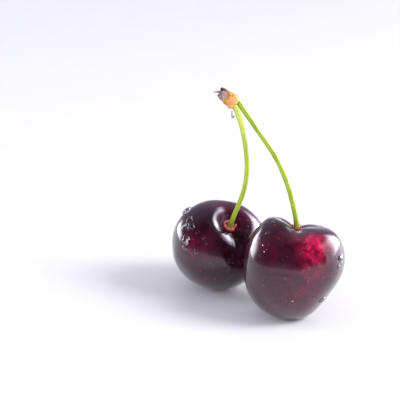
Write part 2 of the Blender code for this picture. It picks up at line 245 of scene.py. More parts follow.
FOOT_SAMPLES = 24                     # places round a stalk's foot where the skin's height is taken
RIM_SECTIONS = 140                    # round a calyx
RIM_SUNK = 0.35 * MM                  # of its underside, into the skin

STALK_SIDES = 28
STALK_RINGS = 150
STALK_RIBS = 7
STALK_RIB_HEIGHT = 0.035              # share of the stalk's radius
STALK_ROUGHNESS = 0.05

DROP_SEGMENTS = 28
DROP_RINGS = 10
DROP_HEIGHT_SHARE = 0.55              # of a drop's radius
DROP_ROUNDNESS = 0.8                  # below 1 for sides steeper than an ellipse's
DROP_UNEVENNESS = 0.50
DROP_SINK = 0.06 * MM
DROP_CLEARANCE = 2.0 * MM             # no drop's middle is nearer to the table than this
MIST_DROPS = 18                       # tiny drops scattered on each fruit
MIST_SIZES = (0.10, 0.26)             # their radii in millimetres
MIST_LEVELS = (-0.5, 0.75)            # cosines of the polar angles that they lie between


# ------------------------------------------------------------------------ mesh helpers

def bump(value, centre, half_width):
    """A smooth hump: 1 at the centre, falling to 0 away from it."""
    return math.exp(-((value - centre) / half_width) ** 2)


def mix(low, high, share):
    return low + (high - low) * share


def heading(bearing, rise):
    """The unit vector at a bearing from +X towards +Y, and a rise above the level."""
    return Vector((
        math.cos(rise) * math.cos(bearing),
        math.cos(rise) * math.sin(bearing),
        math.sin(rise),
    ))


def bezier(controls, share):
    """The point at this share of a Bezier curve through any number of controls."""
    points = list(controls)
    while len(points) > 1:
        points = [a.lerp(b, share) for a, b in zip(points, points[1:])]
    return points[0]


def lofted(rings, ends="flat"):
    """A closed bmesh through rings of points that run the same way round.

    ends is "flat" for one face over each end, "joined" to lead the last ring back
    to the first, or a pair of points that the end rings close on.
    """
    mesh = bmesh.new()
    loops = [[mesh.verts.new(point) for point in ring] for ring in rings]
    count = len(loops[0])
    pairs = list(zip(loops, loops[1:]))
    if ends == "joined":
        pairs.append((loops[-1], loops[0]))
    for low, high in pairs:
        for k in range(count):
            following = (k + 1) % count
            mesh.faces.new((low[k], low[following], high[following], high[k]))
    if ends == "flat":
        mesh.faces.new(reversed(loops[0]))
        mesh.faces.new(loops[-1])
    elif ends != "joined":
        for tip, loop in ((ends[0], loops[0]), (ends[1], loops[-1])):
            vertex = mesh.verts.new(tip)
            for k in range(count):
                mesh.faces.new((vertex, loop[k], loop[(k + 1) % count]))
    bmesh.ops.recalc_face_normals(mesh, faces=mesh.faces)
    return mesh


def add_piece(name, mesh, material, nodes=(), matrix=None, attributes=None):
    """A piece from a bmesh: smooth, finished, riding on the root and standing for its nodes.

    matrix moves the mesh into place, so every piece's origin is the frame's own.
    attributes maps a name to one value for each vertex.
    """
    if matrix is not None:
        mesh.transform(matrix)
    data = bpy.data.meshes.new(name)
    mesh.to_mesh(data)
    mesh.free()
    data.shade_smooth()
    data.materials.append(material)
    for key, values in (attributes or {}).items():
        data.attributes.new(key, "FLOAT", "POINT").data.foreach_set("value", values)
    piece = bpy.data.objects.new(name, data)
    bpy.context.scene.collection.objects.link(piece)
    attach(piece, "root")
    if nodes:
        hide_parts(*nodes)
    return piece


# -------------------------------------------------------------------- material helpers

class Nodes:
    """Short ways to add nodes to a tree and to join them."""

    def __init__(self, tree):
        self.tree = tree

    def node(self, kind, settings=None, **inputs):
        """A node with its settings, and inputs by socket name: a value or another node's output."""
        made = self.tree.nodes.new("ShaderNode" + kind)
        for key, value in (settings or {}).items():
            setattr(made, key, value)
        for key, value in inputs.items():
            self.feed(made.inputs[key.replace("_", " ")], value)
        return made

    def feed(self, socket, value):
        if isinstance(value, bpy.types.NodeSocket):
            self.tree.links.new(value, socket)
        else:
            socket.default_value = value

    def ramp(self, factor, low, high, to_low=0.0, to_high=1.0):
        """The factor stretched smoothly so that low and high become the two outputs."""
        made = self.node("MapRange", {"interpolation_type": "SMOOTHSTEP"}, Value=factor, From_Min=low,
                         From_Max=high, To_Min=to_low, To_Max=to_high)
        return made.outputs["Result"]

    def blend(self, factor, low, high, mode="MIX"):
        """Two colours mixed by a factor, each of them a value or another node's output."""
        made = self.tree.nodes.new("ShaderNodeMix")
        made.data_type = "RGBA"
        made.blend_type = mode
        self.feed(made.inputs[0], factor)
        self.feed(made.inputs[6], low if isinstance(low, bpy.types.NodeSocket) else (*low, 1.0))
        self.feed(made.inputs[7], high if isinstance(high, bpy.types.NodeSocket) else (*high, 1.0))
        return made.outputs[2]

    def maths(self, operation, a, b):
        """The result of a Math node with two inputs."""
        made = self.tree.nodes.new("ShaderNodeMath")
        made.operation = operation
        self.feed(made.inputs[0], a)
        self.feed(made.inputs[1], b)
        return made.outputs[0]

    def times(self, a, b):
        return self.maths("MULTIPLY", a, b)


class Shader(Nodes):
    """A new Principled material, with the textures that feed it."""

    def __init__(self, name, **uniform):
        self.material = bpy.data.materials.new(name)
        self.material.use_nodes = True
        super().__init__(self.material.node_tree)
        self.principled = self.tree.nodes["Principled BSDF"]
        for key, value in uniform.items():
            self.principled.inputs[key.replace("_", " ")].default_value = value
        self.coordinates = self.tree.nodes.new("ShaderNodeTexCoord").outputs["Object"]

    def noise(self, scale, detail=3.0, roughness=0.5, stretch=None):
        """Noise from 0 to 1 over the object's own coordinates, scale per metre."""
        vector = self.coordinates
        if stretch:
            vector = self.node("Mapping", Vector=vector, Scale=stretch).outputs["Vector"]
        made = self.node("TexNoise", Vector=vector, Scale=scale, Detail=detail, Roughness=roughness)
        return made.outputs["Fac"]

    def cells(self, scale):
        """Distance to the nearest of scattered points, in cells of 1 / scale metres."""
        return self.node("TexVoronoi", Vector=self.coordinates, Scale=scale).outputs["Distance"]

    def attribute(self, name):
        return self.node("Attribute", {"attribute_name": name}).outputs["Fac"]

    def finish(self, colour, roughness=None, height=None, relief=0.0001, strength=1.0):
        """Feed the Principled's colour, roughness and a bump, and hand back the material."""
        self.feed(self.principled.inputs["Base Color"], colour)
        if roughness is not None:
            self.feed(self.principled.inputs["Roughness"], roughness)
        if height is not None:
            relieved = self.node("Bump", Height=height, Distance=relief, Strength=strength)
            self.feed(self.principled.inputs["Normal"], relieved.outputs["Normal"])
        return self.material


# --------------------------------------------------------------------------- materials

SKIN_DARK = ((0.013, 0.002, 0.006), (0.036, 0.006, 0.017))   # cloudy from one to the other
SKIN_LIT = ((0.27, 0.002, 0.026), (0.58, 0.010, 0.085))      # painted glow of light through the flesh, streaky from one to the other
SPECK = (0.50, 0.20, 0.26)
SPECK_STRENGTH = 0.20
SCAR = (0.20, 0.10, 0.05)             # where the style sat


def skin_material():
    """Near-black purple skin with a painted crimson glow where light comes through, and fine pale specks.
    """
    shader = Shader(
        "cherry_skin",
        Metallic=0.0,
        IOR=1.45,
        Specular_Tint=(1.0, 0.80, 0.95, 1.0),
        Subsurface_Weight=0.20,
        Subsurface_Scale=1.0 * MM,
        Subsurface_Radius=(1.0, 0.12, 0.10),
        Coat_Roughness=0.035,
        Coat_IOR=1.45,
        Sheen_Weight=0.03,
        Sheen_Roughness=0.45,
        Sheen_Tint=(0.62, 0.42, 0.75, 1.0),
    )
    clouds = shader.noise(scale=150.0, detail=4.0, roughness=0.55)
    streaks = shader.noise(scale=480.0, detail=4.0, roughness=0.62)
    dark = shader.blend(shader.ramp(clouds, 0.35, 0.68), *SKIN_DARK)
    lit = shader.blend(shader.ramp(streaks, 0.35, 0.70), *SKIN_LIT)
    streaky = shader.ramp(streaks, 0.30, 0.60, to_low=0.55, to_high=1.15)
    # painted light: the crimson glow where light comes through the flesh
    colour = shader.blend(shader.times(shader.attribute("glow"), streaky), dark, lit)

    specks = shader.ramp(shader.cells(scale=720.0), 0.10, 0.24, to_low=1.0, to_high=0.0)
    patches = shader.ramp(shader.noise(scale=260.0, detail=2.0), 0.45, 0.60)
    colour = shader.blend(shader.times(shader.times(specks, patches), SPECK_STRENGTH), colour, SPECK)
    colour = shader.blend(shader.attribute("scar"), colour, SCAR)

    # painted shade: the coat and specular are turned down in the stalk's cavity
    dull = shader.attribute("dull")
    for socket, glossy, in_hollow_shade in (("Coat Weight", 0.85, 0.03), ("Specular IOR Level", 0.5, 0.06)):
        level = shader.ramp(dull, 0.0, 0.9, to_low=glossy, to_high=in_hollow_shade)
        shader.feed(shader.principled.inputs[socket], level)
    smears = shader.noise(scale=420.0, detail=4.0)
    pores = shader.noise(scale=300.0, detail=5.0, roughness=0.55)
    roughness = shader.ramp(smears, 0.30, 0.75, to_low=0.14, to_high=0.27)
    return shader.finish(colour, roughness, pores, relief=0.06 * MM, strength=0.4)


STALK_SHADE = (0.74, 0.80, 0.62)      # multiplies the colour in its darker patches
STALK_GROOVE_SHADE = (0.62, 0.74, 0.45)     # and in its grooves, as painted shade
STALK_SPECK = (0.60, 0.52, 0.16)


def stalk_material(name, foot, middle, top):
    """Green plant skin: olive brown at its foot, green along it and its own shade at the spur."""
    shader = Shader(
        name,
        Metallic=0.0,
        Subsurface_Weight=0.30,
        Subsurface_Scale=0.8 * MM,
        Subsurface_Radius=(0.8, 1.0, 0.25),
        Sheen_Weight=0.04,
        Sheen_Roughness=0.35,
        Coat_Weight=0.15,
        Coat_Roughness=0.25,
    )
    along = shader.attribute("along")
    colour = shader.blend(shader.ramp(along, 0.50, 0.97), middle, top)
    colour = shader.blend(shader.ramp(along, 0.035, 0.09, to_low=1.0, to_high=0.0), colour, foot)

    patches = shader.noise(scale=420.0, detail=4.0, roughness=0.6, stretch=(1.0, 1.0, 0.35))
    shaded = shader.blend(1.0, colour, STALK_SHADE, "MULTIPLY")
    colour = shader.blend(shader.ramp(patches, 0.40, 0.66), colour, shaded)
    # painted shade in the stalk's grooves
    groove_shaded = shader.blend(1.0, colour, STALK_GROOVE_SHADE, "MULTIPLY")
    colour = shader.blend(shader.attribute("groove"), colour, groove_shaded)
    specks = shader.ramp(shader.cells(scale=900.0), 0.10, 0.20, to_low=0.5, to_high=0.0)
    colour = shader.blend(specks, colour, STALK_SPECK)

    roughness = shader.ramp(patches, 0.3, 0.7, to_low=0.36, to_high=0.55)
    fibres = shader.noise(scale=900.0, detail=4.0, roughness=0.6, stretch=(1.0, 1.0, 0.2))
    return shader.finish(colour, roughness, fibres, relief=0.06 * MM, strength=0.6)


TISSUE_SHADE = (0.42, 0.30, 0.22)     # multiplies the colour in its darker flecks
TISSUE_DEEP = (0.03, 0.008, 0.006)    # where hardly any light comes in


def tissue_material(name, scale, body, blotch, edge, spots=None):
    """Plant tissue with blotches, flecks, edges of another colour, and maybe round spots."""
    shader = Shader(
        name,
        Metallic=0.0,
        Subsurface_Weight=0.15,
        Subsurface_Scale=0.5 * MM,
        Subsurface_Radius=(1.0, 0.5, 0.3),
    )
    large = shader.noise(scale=scale, detail=3.0, roughness=0.55)
    small = shader.noise(scale=scale * 3.1, detail=5.0, roughness=0.65)
    colour = shader.blend(shader.ramp(large, 0.40, 0.60), body, blotch)
    shaded = shader.blend(1.0, colour, TISSUE_SHADE, "MULTIPLY")
    colour = shader.blend(shader.ramp(small, 0.46, 0.70), colour, shaded)
    # edge colour: the tissue's own on scales, thorn, fibre and core, and a painted highlight on a calyx's
    # crest
    edge_tone_and_highlight = shader.times(shader.attribute("edge"), shader.ramp(large, 0.35, 0.60, to_low=0.35, to_high=1.0))
    colour = shader.blend(edge_tone_and_highlight, colour, edge)
    colour = shader.blend(shader.attribute("shade"), colour, TISSUE_DEEP)
    if spots:
        round_spots = shader.ramp(shader.cells(scale=620.0), 0.10, 0.36, to_low=0.8, to_high=0.0)
        colour = shader.blend(round_spots, colour, spots)
    roughness = shader.ramp(small, 0.3, 0.7, to_low=0.45, to_high=0.75)
    return shader.finish(colour, roughness, small, relief=0.14 * MM, strength=0.9)


def water_material():
    """Clear water. Its coat brightens the glints, and the tiny unevenness breaks them up."""
    shader = Shader(
        "water",
        Metallic=0.0,
        IOR=1.33,
        Transmission_Weight=1.0,
        Coat_Weight=1.0,
        Coat_IOR=1.6,
        Coat_Roughness=0.02,
    )
    tint = shader.blend(shader.noise(scale=300.0), (1.0, 1.0, 1.0), (0.97, 0.98, 1.0))
    roughness = shader.ramp(shader.noise(scale=800.0), 0.3, 0.7, to_low=0.0, to_high=0.03)
    ripples = shader.noise(scale=700.0, detail=2.0)
    return shader.finish(tint, roughness, ripples, relief=0.02 * MM, strength=0.3)


SKIN = skin_material()
WATER = water_material()
STALKS = {
    "front": stalk_material(
        "stalk_skin_front", foot=(0.34, 0.27, 0.03), middle=(0.38, 0.49, 0.036), top=(0.36, 0.49, 0.035),
    ),
    "back": stalk_material(
        "stalk_skin_back", foot=(0.36, 0.32, 0.035), middle=(0.45, 0.56, 0.042), top=(0.58, 0.63, 0.13),
    ),
}
# the edge colours lie on the rims' crests as painted highlights
CALYX = {
    "front": tissue_material(
        "calyx_brown", 1500.0, body=(0.30, 0.06, 0.03), blotch=(0.16, 0.04, 0.02), edge=(0.52, 0.24, 0.12),
    ),
    "back": tissue_material(
        "calyx_red", 1100.0, body=(0.72, 0.05, 0.06), blotch=(0.24, 0.012, 0.018), edge=(1.0, 0.55, 0.52),
    ),
}
CORE = tissue_material(
    "spur_bark", 900.0, body=(0.72, 0.38, 0.14), blotch=(0.80, 0.54, 0.17), edge=(0.34, 0.15, 0.06),
)
LOWER_SCALE = tissue_material(
    "scale_peach", 800.0, body=(0.86, 0.36, 0.17), blotch=(0.82, 0.44, 0.10), edge=(0.94, 0.58, 0.34),
    spots=(0.78, 0.17, 0.14),
)
MIDDLE_SCALE = tissue_material(
    "scale_gold", 1000.0, body=(0.80, 0.42, 0.07), blotch=(0.42, 0.15, 0.03), edge=(0.56, 0.24, 0.06),
)
TIP_SCALES = (
    tissue_material(
        "scale_grey", 1500.0, body=(0.38, 0.37, 0.46), blotch=(0.40, 0.18, 0.09), edge=(0.05, 0.015, 0.02),
    ),
    tissue_material(
        "scale_dark", 900.0, body=(0.07, 0.02, 0.03), blotch=(0.16, 0.07, 0.05), edge=(0.045, 0.012, 0.022),
    ),
    tissue_material(
        "scale_rust", 1200.0, body=(0.70, 0.28, 0.08), blotch=(0.16, 0.05, 0.03), edge=(0.80, 0.42, 0.16),
    ),
)
THORN = tissue_material(
    "thorn_tissue", 1500.0, body=(0.50, 0.10, 0.05), blotch=(0.66, 0.18, 0.12), edge=(1.0, 0.36, 0.55),
)
FIBRE = tissue_material(
    "fibre_tissue", 1200.0, body=(0.22, 0.17, 0.12), blotch=(0.34, 0.28, 0.20), edge=(0.12, 0.08, 0.05),
)


# ------------------------------------------------------------------------------ fruits

def skin_point(fruit, polar, azimuth):
    """A point of the smooth skin: polar from the stalk end, azimuth round from the suture."""
    ray = Vector((
        math.sin(polar) * math.sin(azimuth),
        -math.sin(polar) * math.cos(azimuth),
        math.cos(polar),
    ))
    widening = 1 + fruit.taper * ray.z
    point = Vector((
        ray.x * widening * fruit.width / 2,
        ray.y * widening * fruit.depth / 2,
        ray.z * fruit.height / 2,
    ))
    groove = bump(polar, GROOVE_POLAR, GROOVE_SPREAD) * (1 - bump(polar, 0.0, GROOVE_START))
    swell = -fruit.suture_depth * groove * bump(azimuth, 0.0, GROOVE_HALF_WIDTH)
    swell -= fruit.back_depth * groove * bump(abs(azimuth), math.pi, GROOVE_HALF_WIDTH)
    swell -= fruit.belly * ray.x * bump(polar, BELLY_POLAR, BELLY_SPREAD)
    swell -= fruit.shoulder * ray.x * bump(polar, HIGH_SHOULDER_POLAR, HIGH_SHOULDER_SPREAD)
    if ray.z > 0:
        swell -= fruit.cavity_depth * bump(math.hypot(point.x, point.y), 0.0, fruit.cavity_radius)
    return point + ray * swell


def detailed_point(fruit, polar, azimuth):
    """The skin with its seam, its scar and its broad unevenness."""
    point = skin_point(fruit, polar, azimuth)
    outward = point.normalized()
    fade = 1 - bump(polar, 0.0, DETAIL_START)
    own = Vector((fruit.height * UNEVEN_CHANGE, 0.0, 0.0))
    change = UNEVEN_HEIGHT * fade * noise.noise(point * UNEVEN_SCALE + own)
    seam = bump(azimuth, 0.0, SEAM_HALF_WIDTH) * (1 - bump(polar, math.pi, SEAM_END))
    change -= SEAM_DEPTH * fade * seam
    across = math.hypot(point.x, point.y)
    if polar < math.pi / 2:
        side = bump(turned_apart(azimuth, TERRACE_AZIMUTH), 0.0, TERRACE_SPREAD)
        change -= fruit.terrace * side * bump(across, TERRACE_RADIUS, TERRACE_WIDTH)
    else:
        change -= SCAR_DEPTH * bump(across, 0.0, SCAR_RADIUS)
    return point + outward * change


def skin_grid(fruit):
    """The skin's rings, with the polar angle of each ring and the azimuth of each segment."""
    polars = [math.pi * step / SKIN_RINGS for step in range(1, SKIN_RINGS)]
    turns = [math.tau * k / SKIN_SEGMENTS - math.pi for k in range(SKIN_SEGMENTS)]
    rings = [[detailed_point(fruit, polar, azimuth) for azimuth in turns] for polar in polars]
    return rings, polars, turns


def turned_apart(a, b):
    """How far apart two azimuths are, in degrees."""
    return abs((math.degrees(a) - b + 180) % 360 - 180)


def glow_at(fruit, polar, azimuth):
    """How strong the painted glow of light through the flesh is here, from 0 to 1."""
    total = 0.0
    for glow_polar, glow_azimuth, spread, strength in fruit.glows:
        across = turned_apart(azimuth, glow_azimuth) * math.sin(polar)
        total += strength * bump(math.hypot(math.degrees(polar) - glow_polar, across), 0.0, spread)
    return min(total, 1.0)


def hollow_shade_at(fruit, point):
    """How much painted shade turns the gloss down here: 1 deep in the stalk's cavity, falling to 0 outside
    it.
    """
    if point.z <= 0:
        return 0.0
    return 1 / (1 + (math.hypot(point.x, point.y) / fruit.dull_radius) ** HOLLOW_SHADE_CRISPNESS)


def placing_of(fruit, rings):
    """The fruit's place: its skin is centred in its solid's box and reaches that box's top."""
    low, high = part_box(f"cherry_{fruit.name}")
    rotation = fruit.rotation()
    turned = [rotation @ point for ring in rings for point in ring]
    xs, ys, zs = ([point[axis] for point in turned] for axis in range(3))
    centre = Vector((
        (low.x + high.x - min(xs) - max(xs)) / 2,
        (low.y + high.y - min(ys) - max(ys)) / 2,
        high.z - max(zs),
    ))
    return Matrix.Translation(centre) @ rotation.to_4x4()


def make_fruit(fruit):
    """One cherry's skin, flat where it stands. Returns its place and a tree of its surface."""
    rings, polars, turns = skin_grid(fruit)
    placing = placing_of(fruit, rings)
    to_fruit = placing.inverted()
    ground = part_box(f"cherry_{fruit.name}")[0].z
    ends = (detailed_point(fruit, 0.0, 0.0), detailed_point(fruit, math.pi, 0.0))
    mesh = lofted(rings, ends)
    for vertex in mesh.verts:
        place = placing @ vertex.co
        place.z = max(place.z, ground)
        vertex.co = to_fruit @ place
    tree = BVHTree.FromBMesh(mesh)
    name = f"cherry_{fruit.name}"
    looks = {
        "glow": [glow_at(fruit, polar, azimuth) for polar in polars for azimuth in turns] + [0.0, 0.0],
        "scar": [bump(math.pi - polar, 0.0, SCAR_SPREAD) for polar in polars for _ in turns] + [0.0, 1.0],
        "dull": [hollow_shade_at(fruit, point) for ring in rings for point in ring] + [1.0, 0.0],
    }
    add_piece(f"{name}_skin", mesh, SKIN, [name], placing, looks)
    return placing, tree


def skin_height(tree, place):
    """The height of the skin above a place on the fruit's middle plane."""
    return tree.ray_cast(Vector((place.x, place.y, 0.0)), UP)[0].z


def foot_height(tree):
    """How high the solid stalk's foot stands."""
    places = [Vector()]
    for radius in (STALK_FOOT_RADIUS / 2, STALK_FOOT_RADIUS):
        for k in range(FOOT_SAMPLES):
            places.append(Matrix.Rotation(math.tau * k / FOOT_SAMPLES, 3, "Z") @ Vector((radius, 0.0, 0.0)))
    return max(skin_height(tree, place) for place in places) + GAP


# ------------------------------------------------------------------------- calyx rings

def calyx_section(fruit, tree, centre, turn, seed):
    """One section of the crumpled rim round the stalk's foot: over from its inside, and back below.

    Each point of the profile is a distance from the rim's centre and a height above the skin.
    """
    radius = fruit.rim_radius
    wall = fruit.rim_wall
    around = Vector((math.cos(turn), math.sin(turn), 0.0))
    wrinkle = noise.noise(around * 2.6 + Vector((seed, 0.0, 0.0)))
    fold = noise.noise(around * 7.0 + Vector((0.0, seed, 0.0)))
    rim = radius + wall * (1.1 * wrinkle + 1.0 * fold)
    top = fruit.rim_height * max(0.35, 1 + 1.1 * wrinkle + 1.7 * fold)
    inside = 0.25 * radius
    profile = (
        (inside, 0.16 * MM),
        (rim - 2.0 * wall, 0.20 * MM),
        (rim - 1.1 * wall, top * 0.50),
        (rim - 0.6 * wall, top * 0.90),
        (rim, top),
        (rim + 0.7 * wall, top * 0.80),
        (rim + 1.2 * wall, top * 0.32),
        (rim + 1.7 * wall, -0.10 * MM),
        (rim, -RIM_SUNK),
        (inside, -RIM_SUNK),
    )
    section = []
    for step, (reach, lift) in enumerate(profile):
        crumple = 0.8 * wall * noise.noise(around * 8.0 + Vector((seed, step * 0.9, 0.0)))
        place = centre + around * (reach + crumple)
        section.append(place + UP * (skin_height(tree, place) + lift + crumple))
    return section


def make_calyx(fruit, placing, tree, seed):
    """The crumpled rim where the flower sat, on the skin. Its offset is down and towards -X."""
    aside = placing.inverted().to_3x3() @ Vector((-1.0, 0.0, -1.0))
    aside.z = 0.0
    centre = aside.normalized() * fruit.rim_offset
    turns = [math.tau * k / RIM_SECTIONS for k in range(RIM_SECTIONS)]
    sections = [calyx_section(fruit, tree, centre, turn, seed) for turn in turns]
    steps = range(len(sections[0]))
    # painted highlight on the crest, and painted shade on the inner floor
    edge = [bump(step, 4.0, 1.2) for _ in sections for step in steps]
    shade = [bump(step, 0.0, 2.6) for _ in sections for step in steps]
    name = f"calyx_ring_{fruit.name}"
    add_piece(f"calyx_rim_{fruit.name}", lofted(sections, "joined"), CALYX[fruit.name], [name],
              placing, {"edge": edge, "shade": shade})


# ------------------------------------------------------------------------------ stalks

def frames_along(points):
    """A pair of directions across the path at each point, turning as little as possible."""
    tangents = [(b - a).normalized() for a, b in zip(points, points[1:])]
    tangents.append(tangents[-1])
    side = tangents[0].orthogonal().normalized()
    frames = []
    for tangent in tangents:
        side = (side - tangent * side.dot(tangent)).normalized()
        frames.append((side, tangent.cross(side)))
    return frames


def swept(points, radii, sides, ribs=0, rib_height=0.0, roughness=0.0, seed=0.0):
    """A ribbed, slightly uneven stem along the points. Returns its mesh and its groove values."""
    rings, grooves = [], []
    for point, radius, (across, over) in zip(points, radii, frames_along(points)):
        ring = []
        for k in range(sides):
            turn = math.tau * k / sides
            rib = math.cos(ribs * turn) if ribs else 0.0
            direction = across * math.cos(turn) + over * math.sin(turn)
            uneven = roughness * noise.noise(direction * 1.5 + point * 400 + Vector((seed, 0.0, 0.0)))
            ring.append(point + direction * radius * (1 + rib_height * rib + uneven))
            grooves.append(max(0.0, -rib))
        rings.append(ring)
    return lofted(rings), grooves


def lengths_along(points):
    lengths = [0.0]
    for a, b in zip(points, points[1:]):
        lengths.append(lengths[-1] + (b - a).length)
    return lengths


def make_stalk(fruit, foot, foot_axis, top, spur_axis):
    """One stalk, from inside its calyx rim up into the spur."""
    controls = (
        foot,
        foot + foot_axis * STALK_FOOT_HANDLE,
        foot + fruit.stalk_pulls[0],
        top + fruit.stalk_pulls[1],
        top - spur_axis * STALK_TOP_HANDLE,
        top,
    )
    points = [foot - foot_axis * 2 * GAP]
    points += [bezier(controls, k / (STALK_RINGS - 1)) for k in range(STALK_RINGS)]
    points.append(top + spur_axis * GAP)
    lengths = lengths_along(points)
    radii = []
    for length in lengths:
        radius = fruit.stalk_radius
        radius += (STALK_FOOT_RADIUS - fruit.stalk_radius) * bump(length, 0.0, STALK_FOOT_FLARE)
        radius += (STALK_TOP_RADIUS - fruit.stalk_radius) * bump(length, lengths[-1], STALK_TOP_FLARE)
        radii.append(radius)
    seed = fruit.height / MM
    mesh, grooves = swept(points, radii, STALK_SIDES, STALK_RIBS, STALK_RIB_HEIGHT, STALK_ROUGHNESS, seed)
    along = [length / lengths[-1] for length in lengths for _ in range(STALK_SIDES)]
    add_piece(f"stalk_{fruit.name}_skin", mesh, STALKS[fruit.name], [f"stalk_{fruit.name}"],
              attributes={"along": along, "groove": grooves})


# -------------------------------------------------------------------------------- spur

CORE_PROFILE = (                      # radius of the core at each height, in millimetres
    (1.45, -0.25),
    (1.80, 0.05),
    (1.78, 0.45),
    (1.50, 0.75),
    (1.30, 1.4),
    (1.22, 2.4),
    (1.10, 3.3),
    (0.95, 4.1),
    (0.55, 4.55),
)
CORE_SIDES = 40
CORE_LUMPS = 0.10                     # share of the radius


def round_off(piece, levels):
    """Smooth a coarse piece by subdividing its surface."""
    smooth = piece.modifiers.new("smooth", "SUBSURF")
    smooth.levels = levels
    smooth.render_levels = levels


def make_core(spur_placing):
    """The knobbly woody core, with the pad that both stalks grow from."""
    rings = []
    for radius, height in CORE_PROFILE:
        ring = []
        for k in range(CORE_SIDES):
            turn = math.tau * k / CORE_SIDES
            around = Vector((math.cos(turn), math.sin(turn), 0.0))
            lump = 1 + CORE_LUMPS * noise.noise(around * 1.8 + UP * height * 1.4)
            ring.append((around * radius * lump + UP * height) * MM)
        rings.append(ring)
    edge = [bump(height, 4.5, 0.8) for _, height in CORE_PROFILE for _ in range(CORE_SIDES)]
    mesh = lofted(rings)
    piece = add_piece("spur_core", mesh, CORE, ["spur_stub"], spur_placing, {"edge": edge})
    round_off(piece, 2)


@dataclass
class Whorl:
    """One ring of bud scales round the spur, with sizes in millimetres."""

    name: str
    slot: str
    lengths: tuple
    leans: tuple                      # degrees that each scale leans outwards
    height: float                     # of its feet above the spur's pad
    foot_radius: float
    belly_radius: float
    tip_radius: float
    half_turn: float                  # degrees that a scale reaches to either side
    pointed: float                    # 0 for a broad tip, 1 for a sharp one
    first_turn: float                 # degrees
    thickness: float
    ragged: float                     # unevenness of the tip's edge
    materials: tuple                  # taken in turn round the whorl


WHORLS = (
    Whorl(
        name="lower",
        slot="scale_tan",
        lengths=(2.1, 1.8, 2.0, 1.7),
        leans=(0, 5, -2, 6),
        height=0.25,
        foot_radius=1.55,
        belly_radius=1.95,
        tip_radius=1.62,
        half_turn=58,
        pointed=0.80,
        first_turn=20,
        thickness=0.36,
        ragged=0.16,
        materials=(LOWER_SCALE,),
    ),
    Whorl(
        name="middle",
        slot="scale_gold",
        lengths=(1.6, 1.9, 1.7, 1.8),
        leans=(5, 0, 6, 2),
        height=1.75,
        foot_radius=1.45,
        belly_radius=1.72,
        tip_radius=1.50,
        half_turn=58,
        pointed=0.80,
        first_turn=65,
        thickness=0.32,
        ragged=0.22,
        materials=(MIDDLE_SCALE,),
    ),
    Whorl(
        name="tip",
        slot="scale_dark",
        lengths=(2.1, 2.4, 1.8),
        leans=(0, 2, 0),
        height=3.05,
        foot_radius=1.30,
        belly_radius=1.50,
        tip_radius=1.30,
        half_turn=66,
        pointed=0.40,
        first_turn=0,
        thickness=0.28,
        ragged=0.20,
        materials=TIP_SCALES,
    ),
)

SCALE_ACROSS = 17                     # points from edge to edge
SCALE_ALONG = 13                      # and from foot to tip
SCALE_CRUMPLE = 0.17                  # millimetres


def scale_surface(whorl, length, along, across, seed):
    """A point of a scale's middle surface, from its foot to its tip and from edge to edge."""
    narrowing = math.sqrt(1 - whorl.pointed * along ** 2.4)
    turn = math.radians(whorl.half_turn) * across * narrowing
    swelling = math.sin(math.pi * min(along * 1.25, 1.0))
    radius = mix(whorl.foot_radius, whorl.tip_radius, along)
    radius += (whorl.belly_radius - (whorl.foot_radius + whorl.tip_radius) / 2) * swelling
    ragged = whorl.ragged * along * noise.noise(Vector((across * 4.0, seed, 0.0)))
    around = Vector((math.cos(turn), math.sin(turn), 0.0))
    crumple = SCALE_CRUMPLE * noise.noise(around * 4.0 + Vector((seed, along * 3.0, 0.0)))
    return around * (radius + crumple) + UP * length * (along + ragged)


def scale_mesh(whorl, length, seed):
    """A curved papery scale as a closed shell, thinner at its edges. Returns mesh and edge values."""
    rings, edges = [], []
    for step in range(SCALE_ALONG):
        along = step / (SCALE_ALONG - 1)
        outer, inner, edge = [], [], []
        for k in range(SCALE_ACROSS):
            across = 2 * k / (SCALE_ACROSS - 1) - 1
            point = scale_surface(whorl, length, along, across, seed)
            outward = Vector((point.x, point.y, 0.0)).normalized()
            thickness = whorl.thickness * (1 - 0.55 * abs(across) ** 3) * (1 - 0.45 * along)
            outer.append((point + outward * thickness / 2) * MM)
            inner.append((point - outward * thickness / 2) * MM)
            edge.append(max(bump(along, 1.0, 0.18), bump(abs(across), 1.0, 0.15)))
        rings.append(outer + inner[::-1])
        edges += edge + edge[::-1]
    return lofted(rings), edges


def make_whorl(whorl, spur_placing):
    """The scales of one whorl, each turned round the spur and leaning outwards."""
    share = math.tau / len(whorl.lengths)
    foot = spur_placing @ Matrix.Translation(UP * whorl.height * MM)
    for k, (length, degrees) in enumerate(zip(whorl.lengths, whorl.leans)):
        name = f"{whorl.name}_{k + 1}"
        turn = Matrix.Rotation(math.radians(whorl.first_turn) + k * share, 4, "Z")
        lean = Matrix.Rotation(math.radians(degrees), 4, "Y")
        mesh, edge = scale_mesh(whorl, length, 3.7 * k + 11.0 * whorl.height)
        material = whorl.materials[k % len(whorl.materials)]
        piece = add_piece(f"scale_{name}", mesh, material, [f"bud_scale_{name}"],
                          foot @ turn @ lean, {"edge": edge})
        round_off(piece, 1)


THORN_RINGS = 24
THORN_SIDES = 14
THORN_ENDS = (0.34 * MM, 0.09 * MM)   # radii at its root and its point
THORN_ROOT = UP * -0.5 * MM           # inside the spur
THORN_BEND = Vector((0.0, 0.30, 0.9)) * MM


